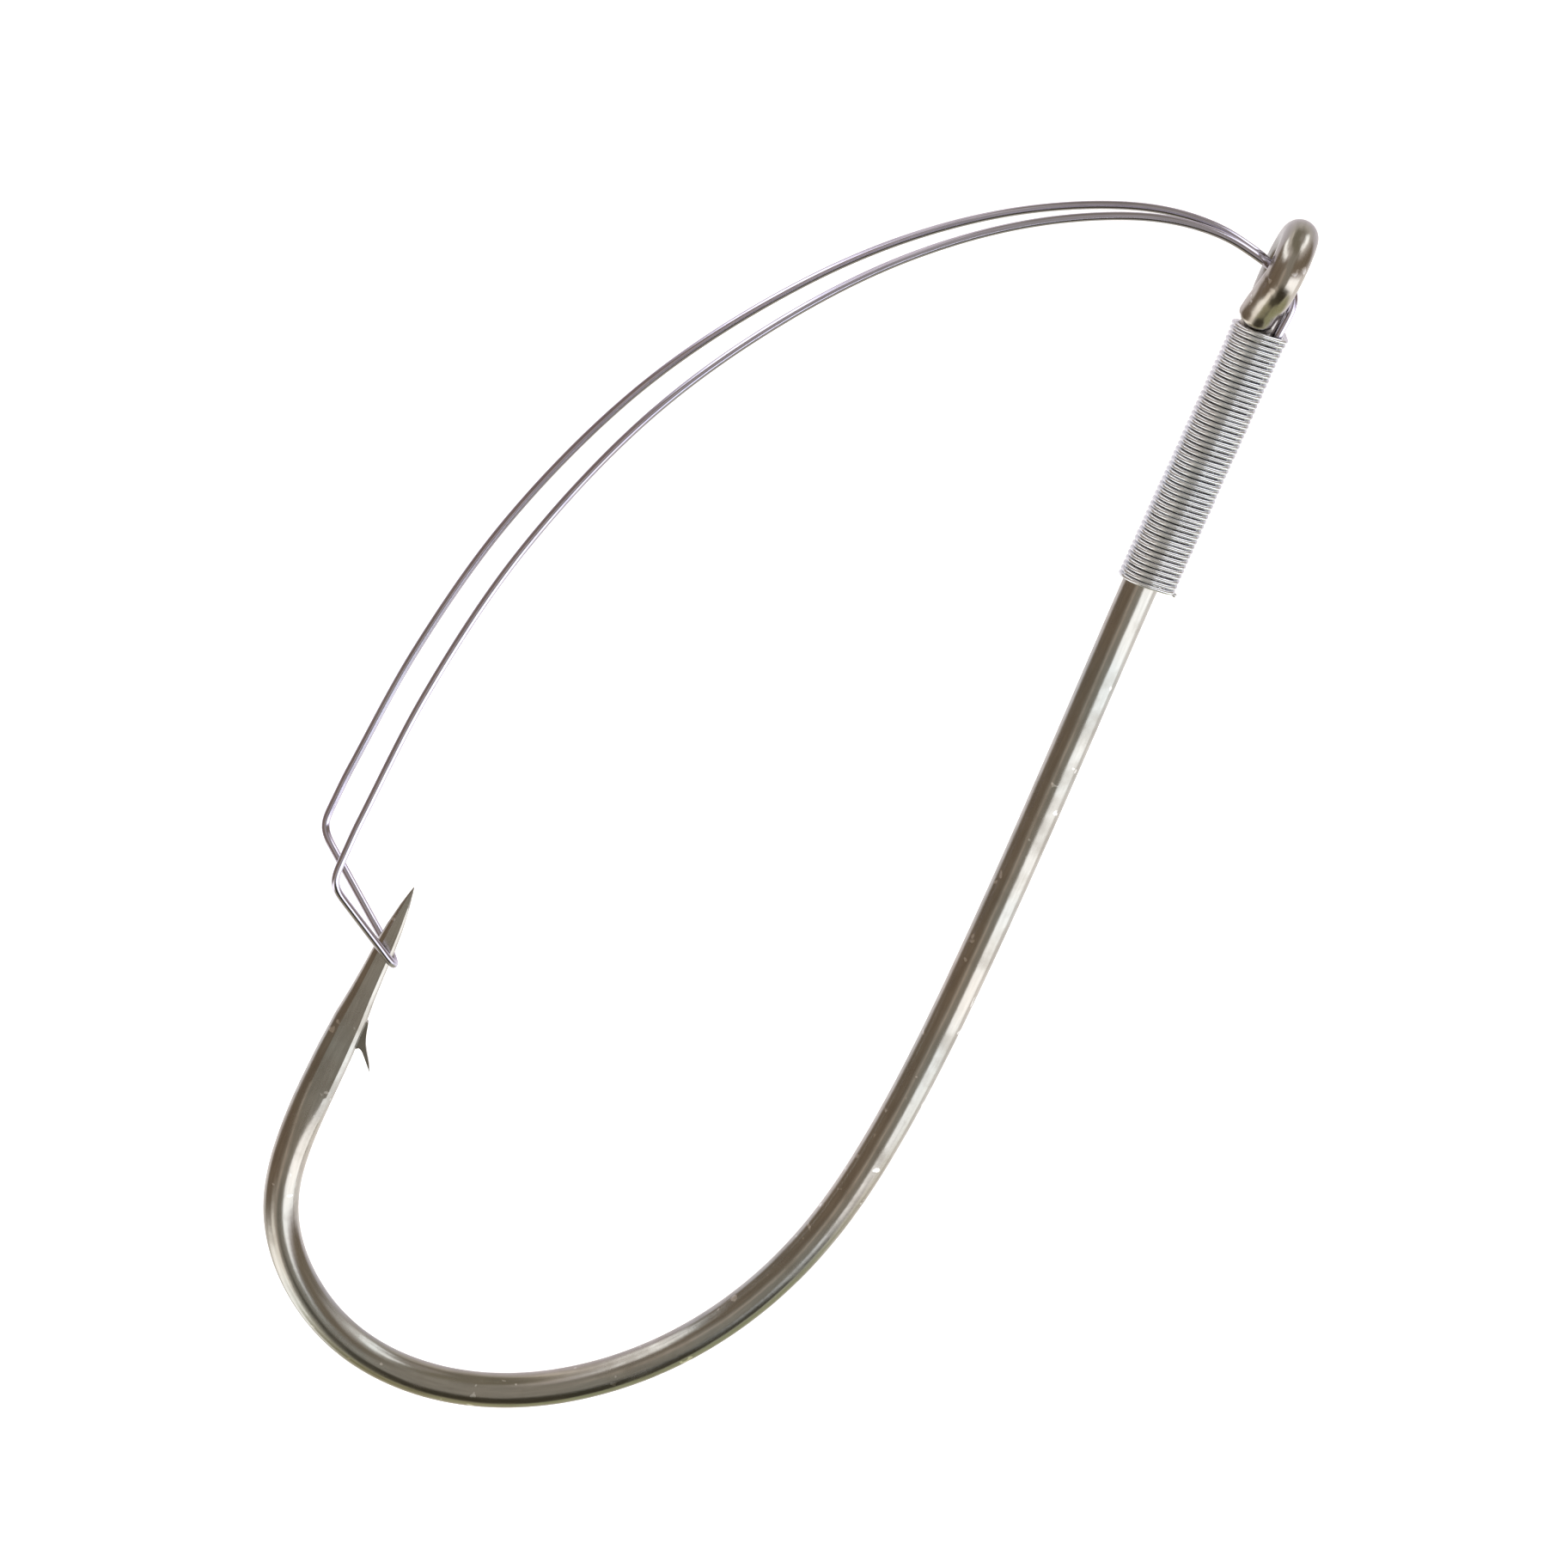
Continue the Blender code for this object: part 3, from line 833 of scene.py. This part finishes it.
hook = makeHook(hookShape, hookFinish)
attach(hook, "hook_body")
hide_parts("hook")
print("hook made:", len(hook.data.vertices), "points")

guard = makeGuard(guardShape, guardFinish)
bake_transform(guard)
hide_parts("guard_hairpin", "guard_tail_near", "guard_tail_far")
print("guard made:", len(guard.data.vertices), "points")

whipping = makeWhipping(whippingShape, whippingFinish)
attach(whipping, "hook_body")
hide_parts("whipping")
print("whipping made:", len(whipping.data.vertices), "points")


studio = {
    "azimuth": -8.0,
    "elevation": 16.0,
    "roll": 22.62,
    "distance": 0.216,
    "lens": 120.13,
    "aim": (2.5, 0.0, 0.79),   # millimetres from the middle of the frame's box
    "floorGap": 45.0,          # how far below the hook the floor is
    "floorSize": 2.0,
    "floorTone": 0.9,
    "floorGlow": 0.6,
    # what the metal reflects: brightness by height above eye level, in degrees. These colours and
    # the patches below were set from measured medians, then adjusted
    "backdrop": (
        (-90, (0.28, 0.25, 0.11)), (-62, (0.62, 0.58, 0.42)), (-22, (1.05, 1.00, 1.02)),
        (15, (0.76, 0.70, 0.74)), (48, (0.66, 0.60, 0.54)), (70, (0.28, 0.24, 0.19)),
        (90, (0.52, 0.47, 0.42)),
    ),
    # then soft patches over it, each painted on the last: degrees to the right of the viewer,
    # half width, degrees up, half height, softness of the edges, colour
    "patches": {
        "dark room left": (-62, 50, -8, 36, 12, (0.24, 0.185, 0.135)),
        "room in front": (6, 28, 8, 62, 12, (0.38, 0.35, 0.30)),
        "brown wall right": (76, 50, 19, 15, 9, (0.28, 0.225, 0.165)),
        "dark ceiling": (-62, 88, 68, 14, 9, (0.26, 0.23, 0.17)),
        "upper left strip": (-104, 26, 48, 3, 5, (0.95, 0.86, 0.76)),
        "left lamp": (-78, 33, 31, 5, 5, (2.0, 2.0, 2.0)),
        "right lamp": (88, 46, 61, 7, 6, (2.0, 2.0, 2.0)),
        "pale wall right": (128, 34, -15, 10, 8, (1.12, 1.08, 1.05)),
        "softbox": (67, 36, -15, 10, 4, (2.0, 2.03, 2.07)),
        "black card": (38, 36, -48, 19, 8, (0.07, 0.06, 0.04)),
        "olive table": (112, 30, -56, 24, 14, (0.48, 0.48, 0.29)),
        "bright table edge": (-92, 62, -59, 8, 7, (1.75, 1.70, 1.62)),
        "bright table corner": (-32, 14, -45, 7, 6, (1.50, 1.42, 1.30)),
        "thin strip": (-14, 3, -12, 26, 4, (0.66, 0.55, 0.46)),
    },
    "softLight": 0.8,          # watts of the overhead light, for the floor
    "softLightSize": 0.6,
    "softLightHeight": 0.5,
}


def makeCamera(setting):
    turn, rise, roll = (math.radians(setting[key]) for key in ("azimuth", "elevation", "roll"))
    right = Vector((math.cos(turn), math.sin(turn), 0.0))
    back = Vector((math.sin(turn) * math.cos(rise), -math.cos(turn) * math.cos(rise), math.sin(rise)))
    up = back.cross(right)
    rolledRight = right * math.cos(roll) + up * math.sin(roll)
    rolledUp = up * math.cos(roll) - right * math.sin(roll)
    aim = (cadLow + cadHigh) / 2 + Vector(setting["aim"]) * mm
    data = bpy.data.cameras.new("camera")
    data.lens = setting["lens"]
    data.sensor_width = 36.0
    data.clip_start = 0.005
    data.clip_end = 20.0
    camera = bpy.data.objects.new("camera", data)
    bpy.context.scene.collection.objects.link(camera)
    placed = Matrix((rolledRight, rolledUp, back)).transposed().to_4x4()
    placed.translation = aim + back * setting["distance"]
    camera.matrix_world = placed
    bpy.context.scene.camera = camera


def makeFloor(setting):
    shape = bmesh.new()
    bmesh.ops.create_grid(shape, x_segments=1, y_segments=1, size=setting["floorSize"])
    mesh = bpy.data.meshes.new("floor")
    shape.to_mesh(mesh)
    shape.free()
    floor = bpy.data.objects.new("floor", mesh)
    floor.location = (0.0, 0.0, cadLow.z - setting["floorGap"] * mm)
    bpy.context.scene.collection.objects.link(floor)
    material = bpy.data.materials.new("pale floor")
    material.use_nodes = True
    shader = material.node_tree.nodes["Principled BSDF"]
    shader.inputs["Base Color"].default_value = (setting["floorTone"],) * 3 + (1.0,)
    shader.inputs["Roughness"].default_value = 0.9
    shader.inputs["Emission Color"].default_value = (1.0, 1.0, 1.0, 1.0)
    shader.inputs["Emission Strength"].default_value = setting["floorGlow"]
    mesh.materials.append(material)
    floor.visible_glossy = False


def makeSky(setting):
    world = bpy.data.worlds.new("studio")
    bpy.context.scene.world = world
    world.use_nodes = True
    nodes, links = world.node_tree.nodes, world.node_tree.links
    nodes.clear()
    place = nodes.new("ShaderNodeTexCoord")
    # turn the sky so that its front faces the viewer
    turned = nodes.new("ShaderNodeVectorRotate")
    turned.rotation_type = "Z_AXIS"
    turned.inputs["Angle"].default_value = math.radians(90 - setting["azimuth"])
    links.new(place.outputs["Generated"], turned.inputs["Vector"])
    split = nodes.new("ShaderNodeSeparateXYZ")
    links.new(turned.outputs["Vector"], split.inputs["Vector"])

    def maths(operation, *values):
        step = nodes.new("ShaderNodeMath")
        step.operation = operation
        for socket, value in zip(step.inputs, values):
            if isinstance(value, (int, float)):
                socket.default_value = value
            else:
                links.new(value, socket)
        return step.outputs["Value"]

    turn = maths("DEGREES", maths("ARCTAN2", split.outputs["Y"], split.outputs["X"]))
    rise = maths("DEGREES", maths("ARCSINE", split.outputs["Z"]))
    backdrop = nodes.new("ShaderNodeValToRGB")
    elements = backdrop.color_ramp.elements
    while len(elements) < len(setting["backdrop"]):
        elements.new(0.5)
    for element, (degrees, colour) in zip(elements, setting["backdrop"]):
        element.position = (degrees + 90) / 180
        element.color = (*colour, 1.0)
    links.new(maths("DIVIDE", maths("ADD", rise, 90.0), 180.0), backdrop.inputs["Fac"])

    def within(distance, half, soft):
        # 1 inside the patch, falling to 0 across its soft edge
        edge = nodes.new("ShaderNodeMapRange")
        edge.interpolation_type = "SMOOTHSTEP"
        edge.inputs["From Min"].default_value = half + soft
        edge.inputs["From Max"].default_value = half - soft / 2
        links.new(distance, edge.inputs["Value"])
        return edge.outputs["Result"]

    lit = backdrop.outputs["Color"]
    for right, halfWidth, up, halfHeight, soft, colour in setting["patches"].values():
        sideways = maths("ABSOLUTE", maths("WRAP", maths("SUBTRACT", turn, float(right)), 180.0, -180.0))
        upright = maths("ABSOLUTE", maths("SUBTRACT", rise, float(up)))
        mix = nodes.new("ShaderNodeMix")
        mix.data_type = "RGBA"
        shown = maths("MULTIPLY", within(sideways, halfWidth, soft), within(upright, halfHeight, soft))
        links.new(shown, mix.inputs["Factor"])
        links.new(lit, mix.inputs["A"])
        mix.inputs["B"].default_value = (*colour, 1.0)
        lit = mix.outputs["Result"]
    seen = nodes.new("ShaderNodeLightPath")
    shown = nodes.new("ShaderNodeMix")
    shown.data_type = "RGBA"
    links.new(seen.outputs["Is Camera Ray"], shown.inputs["Factor"])
    links.new(lit, shown.inputs["A"])
    shown.inputs["B"].default_value = (1.0, 1.0, 1.0, 1.0)
    background = nodes.new("ShaderNodeBackground")
    links.new(shown.outputs["Result"], background.inputs["Color"])
    out = nodes.new("ShaderNodeOutputWorld")
    links.new(background.outputs["Background"], out.inputs["Surface"])


def makeSoftLight(setting):
    data = bpy.data.lights.new("overhead", "AREA")
    data.shape = "DISK"
    data.size = setting["softLightSize"]
    data.energy = setting["softLight"]
    lamp = bpy.data.objects.new("overhead", data)
    lamp.location = (0.0, 0.0, setting["softLightHeight"])
    lamp.visible_glossy = False
    bpy.context.scene.collection.objects.link(lamp)


makeCamera(studio)
makeFloor(studio)
makeSky(studio)
makeSoftLight(studio)
bpy.context.scene.view_settings.view_transform = "Standard"
print("studio made")
